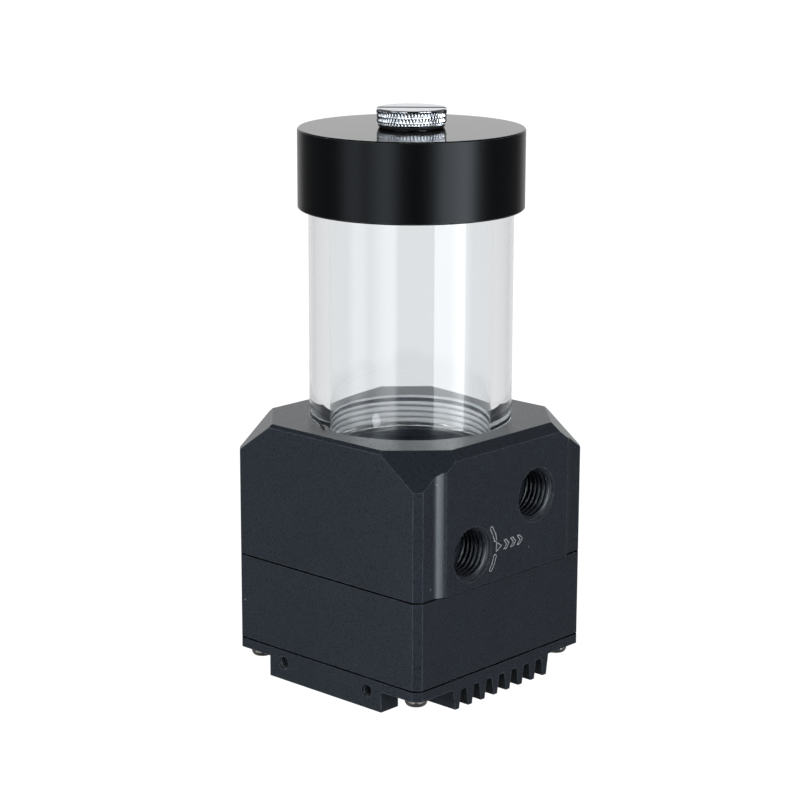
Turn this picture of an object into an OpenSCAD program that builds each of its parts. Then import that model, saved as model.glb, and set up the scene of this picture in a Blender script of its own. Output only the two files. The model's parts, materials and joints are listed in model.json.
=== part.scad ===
// Coolant pump with a reservoir tube.
// A canned-rotor pump sits in a square two-part block on a finned base. Its closed impeller
// runs in a spiral volute cut into the upper block, fed from the reservoir tube above.
// +Z is up, -Y is the front, the ports are on +X. The origin is under the middle of the base.

/* [Pump block] */
// Width and depth of the square block
body_w = 61.5; // [60:0.5:68]
// Chamfer on the four upright corners
corner_chamfer = 1.7; // [1:0.1:3]
// Height of the upper block
top_block_h = 35.1; // [34.5:0.1:42]
// Height of the motor housing
housing_h = 21.9; // [19:0.1:28]
// How far the 45 degree corner facets run down the corners
facet_drop = 8.1; // [5:0.1:9]
// Chamfer round the top face
top_chamfer = 0.85; // [0.4:0.05:1.4]
// Broken edge where two blocks meet
edge_break = 0.2; // [0.1:0.05:0.4]

/* [Port pad] */
// How far the port pad stands out
pad_proud = 1.4; // [0.8:0.1:2]
// Width of the pad's flat face
pad_w = 44.8; // [42:0.2:46]
// Radius of the cutter that leaves the coves beside the pad
cove_r = 5; // [4:0.5:6]

/* [Ports] */
// Radius of the G1/4 port bores, to the bottom of the thread
port_r = 6.58; // [6:0.02:7]
// Depth of the threaded bores
port_depth = 8.5; // [7:0.5:10]
// Size of the lead-in at each port's mouth
port_lead_in = 0.25; // [0.1:0.05:0.5]
// Radius of the passages behind the ports
passage_r = 4; // [3.4:0.1:4.2]
// Height of the outlet's axis above the block's underside
outlet_rise = 8.7; // [8.5:0.1:10]
// Distance of the return port's axis from the middle
return_y = 10.5; // [9.5:0.1:12]
// Height of the return port's axis above the block's underside
return_rise = 18.7; // [18.5:0.1:19.2]

/* [Reservoir] */
// Outer diameter of the tube
tube_od = 50; // [48:0.5:52]
// Wall of the tube
tube_wall = 5; // [4:0.25:6]
// Length of tube that shows between block and cap
tube_shown = 52.05; // [40:1:150]
// Depth of the tube's threaded socket in the block
socket_depth = 8; // [7:0.25:8.5]
// Radius of the suction well under the tube
well_r = 19; // [18:0.25:20]
// Material left between the outlet passage and the well
web_t = 1.8; // [1.2:0.1:2.4]

/* [Cap] */
// Diameter of the cap
cap_od = 55.2; // [54:0.2:60]
// Height of the cap
cap_h = 19.4; // [18.5:0.1:24]
// Depth of the cap's threaded socket
cap_socket_depth = 12; // [9:0.5:13]
// Chamfer round the cap's edges
cap_chamfer = 0.3; // [0.1:0.05:0.6]

/* [Fill plug] */
// Diameter of the knurled head
plug_head_d = 17; // [16.8:0.1:19]
// Height of the knurled head
plug_head_h = 4; // [3:0.1:5]
// Radius of the head's round shoulder
plug_shoulder = 0.8; // [0.3:0.1:1.2]
// Gap that the seal leaves under the head
plug_gap = 0.8; // [0.6:0.05:1]
// Length of the threaded stem in the cap
plug_stem = 6.8; // [5:0.2:7.2]
// Width of the coin slot across the head
slot_w = 2; // [1.6:0.1:2.4]
// Depth of the coin slot
slot_depth = 1.2; // [0.8:0.1:1.6]
// Angle of the coin slot from the X axis
slot_turn = 42.5; // [0:0.5:180]

/* [Heat sink] */
// Thickness of the base plate
plate_t = 2.6; // [2:0.1:4]
// Height of the fins and bars under the plate
foot_h = 5.2; // [4:0.1:8]
// Number of fins
fin_n = 8; // [6:1:9]
// Distance from fin to fin
fin_pitch = 4.7; // [4:0.1:4.9]
// Thickness of a fin at its root
fin_root = 2.8; // [2.4:0.1:3.2]
// Thickness of a fin at its tip
fin_tip = 1.35; // [1:0.05:1.8]
// Land that the fins stand on, below the plate
fin_land = 0.5; // [0.2:0.1:1]
// Length of the mounting bars
bar_l = 38; // [34:1:42]
// Depth of the mounting bars
bar_d = 6; // [5:0.25:6.5]
// Radius of the bars' M4 tapping holes
bar_hole_r = 1.65; // [1.25:0.05:1.65]
// Distance between the two holes of a bar
bar_hole_spacing = 28.5; // [24:0.5:29]
// Height of the bar holes above the floor
bar_hole_z = 4.4; // [3.4:0.1:5]
// Depth of the bar holes
bar_hole_depth = 5; // [4:0.25:5.5]

/* [Corner screws] */
// Distance of each screw from the block's faces
screw_inset = 4.45; // [4:0.05:5]
// Radius of the M3 shank
screw_r = 1.5; // [1.25:0.05:1.6]
// Length of the shank
screw_l = 30; // [28:1:32]
// Diameter of the pan head
screw_head_d = 5.6; // [5:0.1:6]
// Height of the pan head
screw_head_h = 2.4; // [1.8:0.1:2.8]
// Width across the flats of the hexagon socket
screw_key = 2; // [1.5:0.1:2.5]

/* [Motor] */
// Thickness of the housing's roof
roof_t = 3; // [2.5:0.1:3.1]
// Radius of the motor's pocket in the housing
pocket_r = 26.55; // [26:0.05:27]
// Inner radius of the separator can
can_r = 11.9; // [11.5:0.05:12.5]
// Wall of the separator can
can_t = 0.4; // [0.3:0.05:0.5]
// Radius of the can's flange
can_flange_r = 21.5; // [21:0.1:22.5]
// Thickness of the can's flange
can_flange_t = 1; // [0.8:0.1:1.2]
// Width of the ring that joins the poles
core_ring = 4; // [3.5:0.25:4.5]
// Number of poles
pole_n = 6; // [6:3:6]
// Width of a pole
pole_w = 7; // [6:0.25:7.5]
// Thickness of a pole's shoe
shoe_t = 1.7; // [1.4:0.1:2]
// Half of the angle that a shoe covers
shoe_half_angle = 25; // [20:1:27]
// Wall of the bobbins
bobbin_t = 0.5; // [0.4:0.05:0.6]
// Thickness of the windings
winding_t = 1.8; // [1.2:0.1:2]
// Thickness of the thermal pad
thermal_t = 1.2; // [0.8:0.1:1.4]
// Side of the square thermal pad
thermal_w = 34; // [26:1:36]
// Thickness of the board
board_t = 1.2; // [1:0.1:1.6]
// Gap between board and core, filled by the coils' ends
coil_room = 4.8; // [4.7:0.1:5]
// Gap between the coils and the housing's roof
coil_top_gap = 1.3; // [0.4:0.1:2]

/* [Rotor] */
// Radius of the ceramic shaft
shaft_r = 1.5; // [1.25:0.05:1.75]
// Outer radius of the carbon bush
bush_r = 2.8; // [2.6:0.05:3.2]
// Outer radius of the rotor's stem
stem_r = 6; // [5:0.1:6.5]
// Outer radius of the back-iron sleeve
yoke_r = 8.2; // [7.6:0.1:8.6]
// Gap between magnet and can
magnet_gap = 0.7; // [0.5:0.05:0.9]
// How far the ring magnet reaches past the core at each end
magnet_over = 1; // [0:0.1:1]
// Thickness of a thrust washer
washer_t = 0.8; // [0.5:0.1:1]
// End float of the rotor
end_float = 0.3; // [0.2:0.05:0.4]

/* [Impeller and volute] */
// Radius of the impeller
impeller_r = 13.5; // [12.5:0.1:13.8]
// Radius of the impeller's eye
eye_r = 7.6; // [6.8:0.1:7.8]
// Number of vanes
vane_n = 6; // [5:1:8]
// Thickness of a vane
vane_t = 1.2; // [0.9:0.1:1.5]
// How far a vane curves back from eye to rim, in degrees
vane_sweep = 62; // [40:1:75]
// Thickness of the impeller's back disc
disc_t = 1.6; // [1.2:0.1:2]
// Thickness of the impeller's front shroud
shroud_t = 1.2; // [1:0.1:1.6]
// Gap above, below and outside the impeller where it runs closest
impeller_gap = 0.6; // [0.4:0.1:0.9]
// Height of the volute chamber
chamber_h = 10.9; // [10.5:0.1:11.1]
// Gap at the volute's tongue
tongue_gap = 1; // [0.8:0.1:1.4]
// How much the volute grows in one turn
volute_growth = 2.5; // [2:0.1:2.8]
// Angle of the volute's tongue
tongue_angle = -70; // [-75:1:-60]

/* [Seals and grommet] */
// Section of the O-rings at both ends of the tube
tube_ring_d = 1.8; // [1.4:0.1:2]
// Section of the can's O-ring
can_ring_d = 1.6; // [1.4:0.1:1.8]
// Section of the fill plug's O-ring
plug_ring_d = 1.4; // [1.2:0.1:1.6]
// Radius of the cable's hole through the grommet
cable_r = 1.9; // [1.5:0.1:2]
// Wall of the grommet round the cable
grommet_wall = 0.7; // [0.6:0.05:0.8]
// Width of the grommet's flanges
grommet_lip = 1; // [0.8:0.1:1.1]

/* [Fits] */
// Radial clearance of a running or screwed fit
run_gap = 0.05; // [0.02:0.01:0.08]
// Radial clearance of a seated fit
seat_gap = 0.02; // [0.01:0.01:0.05]
// Radial clearance of a screw in its through hole
screw_gap = 0.2; // [0.1:0.05:0.3]
// Clearance of a seal from a piece that moves away from it
seal_gap = 0.05; // [0.03:0.01:0.1]

/* [Hidden] */
$fn = 96;

// a small overlap that makes cuts run clean through a surface
cut = 1;
half_w = body_w / 2;
corner_reach = (body_w - corner_chamfer) / sqrt(2);

// heights, from the floor up
z_plate = foot_h;
z_housing = z_plate + plate_t;
z_split = z_housing + housing_h;
z_top = z_split + top_block_h;
z_cap = z_top + tube_shown;
z_cap_top = z_cap + cap_h;
z_cap_ceiling = z_cap + cap_socket_depth;

// motor stack
z_board = z_housing + thermal_t;
z_board_top = z_board + board_t;
z_core = z_board_top + coil_room;
z_roof = z_split - roof_t;
bobbin_fit = 0.1;
z_core_top = z_roof - coil_top_gap - winding_t - bobbin_t - bobbin_fit;
z_core_mid = (z_core + z_core_top) / 2;
core_h = z_core_top - z_core;
magnet_h = core_h + 2 * magnet_over;
core_r = pocket_r - run_gap;
core_ring_r = core_r - core_ring;
pole_gap = 0.2;
pole_face_r = can_r + can_t + pole_gap;
winding_start = pole_face_r + shoe_t + 2 * bobbin_t;
bobbin_w = pole_w + 2 * (bobbin_fit + bobbin_t);
bobbin_h = core_h + 2 * (bobbin_fit + bobbin_t);
flange_w = bobbin_w + 2 * winding_t;
flange_h = bobbin_h + 2 * winding_t;
winding_end = sqrt(pow(core_ring_r, 2) - pow(flange_w / 2, 2)) - bobbin_t - bobbin_fit;
board_r = pocket_r - 1.7;
shoulder_w = 1.4;
shaft_end_wall = 0.8;

// can and rotor
can_floor_gap = 1.8;
can_bottom_t = 0.5;
z_can = z_board_top + can_floor_gap;
z_can_floor = z_can + can_bottom_t;
boss_h = 1.8;
z_washer = z_can_floor + boss_h;
z_bush = z_washer + washer_t;
washer_r = bush_r - 0.2;
magnet_r = can_r - magnet_gap;
z_magnet = z_core_mid - magnet_h / 2;
z_ceiling = z_split + chamber_h;
z_upper_washer = z_ceiling - washer_t;
z_bush_top = z_upper_washer - end_float;
z_impeller = z_split + impeller_gap;
z_impeller_top = z_ceiling - impeller_gap;
z_vanes = z_impeller + disc_t;
z_vanes_top = z_impeller_top - shroud_t;
hub_r = bush_r + 1.2;

// volute, ports and well
volute_r0 = impeller_r + tongue_gap;
volute_r1 = volute_r0 + volute_growth;
outlet_y = -(volute_r1 - passage_r);
z_outlet = z_split + outlet_rise;
z_return = z_split + return_rise;
z_well = z_outlet + passage_r + web_t;
pad_face = half_w + pad_proud;
port_floor = pad_face - port_depth;
suction_r = eye_r + 1;
cutter_bite = 0.02;
cove_run = sqrt(pow(cove_r, 2) - pow(cove_r - pad_proud, 2));

// tube and its seals
tube_r = tube_od / 2;
bore_r = tube_r - tube_wall;
seal_r = (tube_r + bore_r) / 2;
groove_depth = 0.75 * tube_ring_d;
groove_w = tube_ring_d + 0.4;
z_socket = z_top - socket_depth;
z_tube = z_socket - groove_depth + tube_ring_d;
z_tube_top = z_cap_ceiling + groove_depth - tube_ring_d - 2 * seal_gap;

// can seal
can_seal_r = (volute_r1 + can_flange_r) / 2 + 0.2;
can_groove_depth = can_ring_d + seat_gap;
can_groove_w = can_ring_d + 0.3;

// fill plug
plug_r = port_r - run_gap;
z_plug_head = z_cap_top + plug_gap;
plug_seal_r = plug_r + seal_gap + plug_ring_d / 2 + 0.15;
plug_groove_depth = plug_ring_d + 2 * seal_gap - plug_gap;

// corner screws, at the corners of a square
screw_pos = half_w - screw_inset;
screw_corners = [for (sx = [-1, 1], sy = [-1, 1]) [sx * screw_pos, sy * screw_pos]];

// grommet
grommet_r = cable_r + grommet_wall;
grommet_flange_r = grommet_r + grommet_lip;
grommet_z = z_board_top + grommet_r - 0.8;

black_metal = [0.09, 0.1, 0.115];
black_rubber = [0.05, 0.05, 0.05];
steel = [0.66, 0.65, 0.62];
plated = [0.88, 0.88, 0.9];

// square outline with its four corners cut off
function block_outline(w, c) = [
    [-w + c, -w], [w - c, -w], [w, -w + c], [w, w - c],
    [w - c, w], [-w + c, w], [-w, w - c], [-w, -w + c]
];

// rectangle with round corners, n steps to a corner
function rounded_rect(w, h, r, n = 4) = [
    for (q = [0:3], i = [0:n])
        let (a = 90 * q + 90 * i / n,
             sx = q == 0 || q == 3 ? 1 : -1,
             sy = q < 2 ? 1 : -1)
        [sx * (w / 2 - r) + r * cos(a), sy * (h / 2 - r) + r * sin(a)]
];

module block_prism(z0, h) {
    translate([0, 0, z0])
        linear_extrude(h) polygon(block_outline(half_w, corner_chamfer));
}

// half-space outside a 45 degree plane on the side that faces the angle turn;
// the plane meets height z at the given reach from the middle.
// tilt 45 bevels an upper edge, tilt 135 a lower one
module bevel_space(turn, reach, z, tilt) {
    rotate([0, 0, turn])
        translate([reach, 0, z])
            rotate([0, tilt, 0])
                translate([-body_w, -body_w, 0])
                    cube([2 * body_w, 2 * body_w, body_w]);
}

// breaks all eight edges round one end of a block; ports_out is how far +X stands out
module break_edges(z, size, tilt, ports_out = 0) {
    for (i = [0:3]) {
        bevel_space(90 * i, half_w - size + (i == 0 ? ports_out : 0), z, tilt);
        bevel_space(90 * i + 45, corner_reach - size, z, tilt);
    }
}

module ring(r_out, r_in, z0, h) {
    difference() {
        translate([0, 0, z0]) cylinder(r = r_out, h = h);
        translate([0, 0, z0 - cut]) cylinder(r = r_in, h = h + 2 * cut);
    }
}

module o_ring(mean_r, d, z_mid) {
    translate([0, 0, z_mid])
        rotate_extrude() translate([mean_r, 0]) circle(d = d, $fn = 32);
}

// ring-shaped groove; open towards +Z if up is true, else towards -Z
module seal_groove(mean_r, w, depth, z_face, up) {
    ring(mean_r + w / 2, mean_r - w / 2, up ? z_face - depth : z_face - cut, depth + cut);
}

module at_corners() {
    for (p = screw_corners) translate([p[0], p[1], 0]) children();
}

// ---- base ----

module fin_profile() {
    first = -fin_pitch * (fin_n - 1) / 2;
    for (i = [0:fin_n - 1])
        translate([first + i * fin_pitch, 0])
            polygon([
                [-fin_tip / 2, 0], [fin_tip / 2, 0],
                [fin_root / 2, foot_h - fin_land], [fin_root / 2, foot_h],
                [-fin_root / 2, foot_h], [-fin_root / 2, foot_h - fin_land]
            ]);
    land_w = fin_pitch * (fin_n - 1) + fin_root;
    translate([-land_w / 2, foot_h - fin_land]) square([land_w, fin_land + plate_t / 2]);
}

module heat_sink_base() {
    color(black_metal)
    difference() {
        union() {
            block_prism(z_plate, plate_t);
            translate([-half_w, 0, 0])
                rotate([90, 0, 90]) linear_extrude(body_w) fin_profile();
            for (side = [0, 180])
                rotate([0, 0, side])
                    translate([-bar_l / 2, -half_w, 0])
                        cube([bar_l, bar_d, foot_h + plate_t / 2]);
        }
        break_edges(z_housing, edge_break, 45);
        at_corners()
            translate([0, 0, z_plate - cut])
                cylinder(r = screw_r + screw_gap, h = plate_t + 2 * cut);
        for (side = [0, 180], sx = [-1, 1])
            rotate([0, 0, side])
                translate([sx * bar_hole_spacing / 2, -half_w - cut, bar_hole_z])
                    rotate([-90, 0, 0]) cylinder(r = bar_hole_r, h = bar_hole_depth + cut);
    }
}

module corner_screws() {
    head_r = screw_head_d / 2;
    flat_r = 0.7 * head_r;
    dome = [for (a = [0:15:90])
        [flat_r + (head_r - flat_r) * cos(a), -screw_head_h * (0.35 + 0.65 * sin(a))]];
    color(steel)
    at_corners()
        translate([0, 0, z_plate])
            difference() {
                rotate_extrude()
                    polygon(concat(
                        [[0, screw_l], [screw_r, screw_l], [screw_r, 0], [head_r, 0]],
                        dome, [[0, -screw_head_h]]));
                translate([0, 0, -screw_head_h - cut])
                    cylinder(d = screw_key / cos(30), h = screw_head_h / 2 + cut, $fn = 6);
            }
}

// ---- driver board ----

module thermal_pad() {
    color([0.55, 0.6, 0.66])
    translate([0, 0, z_housing])
        linear_extrude(thermal_t) polygon(rounded_rect(thermal_w, thermal_w, 2));
}

spacer_angles = [30, 150, 270];
spacer_r = 1.2;
spacer_pin_r = 0.8;
spacer_reach = board_r - spacer_r - 0.3;
chip_reach = 18;
driver_chip = [6, 6, 1];
transistor = [4.5, 5, 1.1];
transistor_angles = [60, 120, 240];
position_sensor = [3, 2, 1];
capacitor_r = 2.4;
capacitor_h = 1.8;
capacitor_angles = [210, 300];

module at_spacers() {
    for (a = spacer_angles) rotate([0, 0, a]) translate([spacer_reach, 0, 0]) children();
}

module control_board() {
    color([0.05, 0.22, 0.12])
    difference() {
        translate([0, 0, z_board]) cylinder(r = board_r, h = board_t);
        at_spacers()
            translate([0, 0, z_board - cut])
                cylinder(r = spacer_pin_r + seat_gap, h = board_t + 2 * cut, $fn = 24);
    }
}

module board_spacers() {
    color([0.85, 0.85, 0.8])
    at_spacers() {
        translate([0, 0, z_board_top]) cylinder(r = spacer_r, h = coil_room, $fn = 24);
        translate([0, 0, z_board + board_t / 4])
            cylinder(r = spacer_pin_r, h = board_t, $fn = 24);
    }
}

// a block of the given size on the board, out along the angle
module chip(angle, size) {
    rotate([0, 0, angle])
        translate([chip_reach - size[0] / 2, -size[1] / 2, z_board_top]) cube(size);
}

// driver chip, three power transistors, position sensor and two flat capacitors
module board_components() {
    color([0.12, 0.12, 0.12]) {
        chip(0, driver_chip);
        for (a = transistor_angles) chip(a, transistor);
        chip(90, position_sensor);
    }
    color([0.7, 0.6, 0.4])
    for (a = capacitor_angles)
        rotate([0, 0, a])
            translate([chip_reach, 0, z_board_top])
                cylinder(r = capacitor_r, h = capacitor_h, $fn = 32);
}

// ---- motor ----

module motor_housing() {
    color(black_metal)
    difference() {
        block_prism(z_housing, housing_h);
        break_edges(z_split, edge_break, 45);
        break_edges(z_housing, edge_break, 135);
        translate([0, 0, z_housing - cut])
            cylinder(r = pocket_r, h = z_core_top - z_housing + cut);
        translate([0, 0, z_core_top - cut])
            cylinder(r = pocket_r - shoulder_w, h = z_roof - z_core_top + cut);
        translate([0, 0, z_roof - cut])
            cylinder(r = can_r + can_t + screw_gap, h = roof_t + 2 * cut);
        translate([0, 0, z_split - can_flange_t])
            cylinder(r = can_flange_r + run_gap, h = can_flange_t + cut);
        at_corners()
            translate([0, 0, z_housing - cut])
                cylinder(r = screw_r + screw_gap, h = housing_h + 2 * cut);
        translate([-half_w - cut, 0, grommet_z])
            rotate([0, 90, 0]) cylinder(r = grommet_r + seat_gap, h = half_w - board_r + cut);
    }
}

module cable_grommet() {
    wall_x = sqrt(pow(pocket_r, 2) - pow(grommet_flange_r, 2));
    color(black_rubber)
    translate([-half_w, 0, grommet_z])
        rotate([0, 90, 0])
            difference() {
                union() {
                    translate([0, 0, -pad_proud])
                        cylinder(r = grommet_flange_r, h = pad_proud);
                    translate([0, 0, -pad_proud])
                        cylinder(r = grommet_r, h = pad_proud + half_w - wall_x + seal_gap);
                }
                translate([0, 0, -pad_proud - cut])
                    cylinder(r = cable_r, h = half_w + cut);
            }
}

module pole_shoe() {
    reach = core_r;
    intersection() {
        ring(pole_face_r + shoe_t, pole_face_r, z_core, core_h);
        translate([0, 0, z_core])
            linear_extrude(core_h)
                polygon([[0, 0],
                    [reach * cos(shoe_half_angle), -reach * sin(shoe_half_angle)],
                    [reach * cos(shoe_half_angle), reach * sin(shoe_half_angle)]]);
    }
}

module stator_core() {
    color([0.42, 0.42, 0.44])
    union() {
        ring(core_r, core_ring_r, z_core, core_h);
        for (i = [0:pole_n - 1])
            rotate([0, 0, 360 * i / pole_n]) {
                pole_shoe();
                translate([pole_face_r + shoe_t / 2, -pole_w / 2, z_core])
                    cube([core_ring_r - pole_face_r, pole_w, core_h]);
            }
    }
}

// rectangular tube round a pole, from radius r0 to r1
module pole_sleeve(r0, r1, w, h, round_r, inner_w, inner_h) {
    translate([r0, 0, z_core_mid])
        rotate([90, 0, 90])
            difference() {
                linear_extrude(r1 - r0) polygon(rounded_rect(w, h, round_r));
                translate([-inner_w / 2, -inner_h / 2, -cut])
                    cube([inner_w, inner_h, r1 - r0 + 2 * cut]);
            }
}

module coil_bobbins() {
    hole_w = pole_w + 2 * bobbin_fit;
    hole_h = core_h + 2 * bobbin_fit;
    color([0.92, 0.9, 0.84])
    for (i = [0:pole_n - 1])
        rotate([0, 0, 360 * i / pole_n])
            union() {
                pole_sleeve(winding_start - bobbin_t, winding_end + bobbin_t,
                    bobbin_w, bobbin_h, bobbin_t, hole_w, hole_h);
                pole_sleeve(winding_start - bobbin_t, winding_start,
                    flange_w, flange_h, winding_t, hole_w, hole_h);
                pole_sleeve(winding_end, winding_end + bobbin_t,
                    flange_w, flange_h, winding_t, hole_w, hole_h);
            }
}

module stator_coils() {
    color([0.72, 0.38, 0.2])
    for (i = [0:pole_n - 1])
        rotate([0, 0, 360 * i / pole_n])
            pole_sleeve(winding_start + seat_gap, winding_end - seat_gap,
                flange_w, flange_h, winding_t,
                bobbin_w + 2 * seat_gap, bobbin_h + 2 * seat_gap);
}

// thin drawn cup with a flange, and a boss that holds the shaft's foot
module separator_can() {
    out_r = can_r + can_t;
    z_flange = z_split - can_flange_t;
    color(steel)
    rotate_extrude()
        polygon([
            [shaft_r + seat_gap, z_can_floor], [shaft_r + seat_gap, z_washer],
            [washer_r, z_washer], [washer_r, z_can_floor],
            [can_r, z_can_floor], [can_r, z_split], [can_flange_r, z_split],
            [can_flange_r, z_flange], [out_r, z_flange], [out_r, z_can],
            [0, z_can], [0, z_can_floor]
        ]);
}

module can_o_ring() {
    color(black_rubber) o_ring(can_seal_r, can_ring_d, z_split + can_ring_d / 2);
}

// ---- rotor ----

module rotor_shaft() {
    color([0.93, 0.92, 0.88])
    translate([0, 0, z_can_floor]) cylinder(r = shaft_r, h = z_well - shaft_end_wall - z_can_floor);
}

module thrust_washers() {
    color([0.96, 0.95, 0.9])
    for (z = [z_washer, z_upper_washer]) ring(washer_r, shaft_r + run_gap, z, washer_t);
}

module rotor_bush() {
    color([0.14, 0.14, 0.15])
    ring(bush_r, shaft_r + run_gap, z_bush, z_bush_top - z_bush);
}

module rotor_yoke() {
    color([0.5, 0.5, 0.52])
    ring(yoke_r, stem_r + seat_gap, z_magnet, magnet_h);
}

module rotor_magnet() {
    color([0.25, 0.25, 0.27])
    ring(magnet_r, yoke_r + seat_gap, z_magnet, magnet_h);
}

// one backward-curved vane: its angle falls behind as its radius grows
module vane() {
    steps = 10;
    inner = eye_r - 0.8;
    outer = impeller_r - 0.05;
    centre = [for (i = [0:steps])
        let (s = i / steps, r = inner + (outer - inner) * s, a = -vane_sweep * pow(s, 0.9))
        [r * cos(a), r * sin(a)]];
    side = [for (i = [0:steps])
        let (p = centre[max(i - 1, 0)], q = centre[min(i + 1, steps)], d = q - p)
        vane_t / 2 * [-d[1], d[0]] / norm(d)];
    translate([0, 0, z_vanes - seat_gap])
        linear_extrude(z_vanes_top - z_vanes + 2 * seat_gap)
            polygon(concat(
                [for (i = [0:steps]) centre[i] + side[i]],
                [for (i = [steps:-1:0]) centre[i] - side[i]]));
}

module impeller() {
    color([0.85, 0.84, 0.8])
    difference() {
        union() {
            translate([0, 0, z_impeller]) cylinder(r = impeller_r, h = disc_t);
            translate([0, 0, z_magnet]) cylinder(r = stem_r, h = z_impeller - z_magnet + cut);
            translate([0, 0, z_impeller])
                cylinder(r = hub_r, h = z_bush_top - end_float - z_impeller);
            intersection() {
                for (i = [0:vane_n - 1]) rotate([0, 0, 360 * i / vane_n]) vane();
                translate([0, 0, z_impeller]) cylinder(r = impeller_r, h = chamber_h);
            }
            ring(impeller_r, eye_r, z_vanes_top, shroud_t);
        }
        translate([0, 0, z_magnet - cut])
            cylinder(r = bush_r + seat_gap, h = z_ceiling - z_magnet + 2 * cut);
    }
}

// ---- upper block ----

module suction_spider() {
    arm_n = 3;
    arm_w = 1.6;
    arm_drop = 0.5;
    rim = 1;
    h = z_well - z_ceiling;
    hub = washer_r + rim - 0.2;
    nose_h = 1.8;
    nose = [for (a = [0:15:75]) [hub * cos(a), z_well + nose_h * sin(a)]];
    color([0.1, 0.1, 0.1])
    difference() {
        union() {
            ring(suction_r - seat_gap, suction_r - rim, z_ceiling, h);
            rotate_extrude()
                polygon(concat([[0, z_ceiling], [hub, z_ceiling]], nose,
                    [[0, z_well + nose_h * sin(75)]]));
            for (i = [0:arm_n - 1])
                rotate([0, 0, 360 * i / arm_n + 90])
                    translate([0, -arm_w / 2, z_ceiling])
                        cube([suction_r - rim / 2, arm_w, h - arm_drop]);
        }
        translate([0, 0, z_ceiling - cut])
            cylinder(r = shaft_r + seat_gap, h = h - shaft_end_wall + cut);
    }
}

module port_bore(y, z) {
    translate([port_floor, y, z]) rotate([0, 90, 0]) cylinder(r = port_r, h = port_depth + cut);
    translate([pad_face - port_lead_in, y, z])
        rotate([0, 90, 0])
            cylinder(r1 = port_r, r2 = port_r + port_lead_in + cut, h = port_lead_in + cut);
    translate([0, y, z])
        rotate([0, 90, 0]) cylinder(r = passage_r, h = port_floor + cut);
}

// spiral chamber: the radius grows evenly through one turn from the tongue
module volute() {
    steps = 48;
    translate([0, 0, z_split - cut])
        linear_extrude(chamber_h + cut)
            polygon([for (i = [0:steps])
                let (a = tongue_angle + 360 * i / steps,
                     r = volute_r0 + volute_growth * i / steps)
                [r * cos(a), r * sin(a)]]);
}

module pump_top_block() {
    slab_half = pad_w / 2 + cove_run;
    color(black_metal)
    difference() {
        union() {
            block_prism(z_split, top_block_h);
            translate([0, -slab_half, z_split])
                cube([pad_face, 2 * slab_half, top_block_h]);
        }
        for (side = [-1, 1])
            translate([half_w + cove_r - cutter_bite, side * slab_half, z_split - cut])
                cylinder(r = cove_r, h = top_block_h + 2 * cut);
        for (i = [0:3]) {
            bevel_space(90 * i, half_w - top_chamfer, z_top, 45);
            bevel_space(90 * i + 45, corner_reach - facet_drop, z_top, 45);
        }
        break_edges(z_split, edge_break, 135, pad_proud);
        translate([0, 0, z_socket])
            cylinder(r = tube_r + run_gap, h = socket_depth + cut);
        seal_groove(seal_r, groove_w, groove_depth, z_socket, true);
        translate([0, 0, z_well]) cylinder(r = well_r, h = z_socket - z_well + cut);
        translate([0, 0, z_ceiling - cut])
            cylinder(r = suction_r, h = z_well - z_ceiling + 2 * cut);
        volute();
        seal_groove(can_seal_r, can_groove_w, can_groove_depth, z_split, false);
        port_bore(outlet_y, z_outlet);
        port_bore(return_y, z_return);
        at_corners()
            translate([0, 0, z_split - cut])
                cylinder(r = screw_r + seat_gap, h = screw_l - housing_h - plate_t + 3 + cut);
    }
}

// ---- reservoir ----

module tube_o_ring() {
    color(black_rubber) o_ring(seal_r, tube_ring_d, z_tube - tube_ring_d / 2);
}

module reservoir_tube() {
    color([0.9, 0.94, 0.96, 0.35])
    ring(tube_r, bore_r, z_tube, z_tube_top - z_tube);
}

module cap_o_ring() {
    color(black_rubber)
    o_ring(seal_r, tube_ring_d, z_cap_ceiling + groove_depth - tube_ring_d / 2 - seal_gap);
}

module top_cap() {
    cap_r = cap_od / 2;
    color(black_metal)
    difference() {
        rotate_extrude($fn = 128)
            polygon([
                [0, z_cap], [cap_r - cap_chamfer, z_cap], [cap_r, z_cap + cap_chamfer],
                [cap_r, z_cap_top - cap_chamfer], [cap_r - cap_chamfer, z_cap_top],
                [0, z_cap_top]
            ]);
        translate([0, 0, z_cap - cut])
            cylinder(r = tube_r + run_gap, h = cap_socket_depth + cut);
        seal_groove(seal_r, groove_w, groove_depth, z_cap_ceiling, false);
        translate([0, 0, z_cap_ceiling - cut])
            cylinder(r = port_r, h = z_cap_top - z_cap_ceiling + 2 * cut);
    }
}

module fill_plug_o_ring() {
    color(black_rubber)
    o_ring(plug_seal_r, plug_ring_d, z_cap_top + seal_gap + plug_ring_d / 2);
}

module fill_plug() {
    head_r = plug_head_d / 2;
    z_head_top = z_plug_head + plug_head_h;
    shoulder = [for (a = [0:15:90])
        [head_r - plug_shoulder * (1 - cos(a)), z_head_top - plug_shoulder * (1 - sin(a))]];
    z_stem = z_cap_top - plug_stem;
    lead_in = 0.8;
    color(plated)
    difference() {
        rotate_extrude()
            polygon(concat(
                [[0, z_stem], [plug_r - lead_in, z_stem], [plug_r, z_stem + lead_in],
                 [plug_r, z_plug_head], [head_r - 0.3, z_plug_head],
                 [head_r, z_plug_head + 0.3]],
                shoulder, [[0, z_head_top]]));
        seal_groove(plug_seal_r, plug_ring_d + 0.3, plug_groove_depth, z_plug_head, false);
        // coin slot, open at both ends
        rotate([0, 0, slot_turn])
            translate([-plug_head_d, -slot_w / 2, z_head_top - slot_depth])
                cube([2 * plug_head_d, slot_w, slot_depth + cut]);
    }
}

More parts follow.
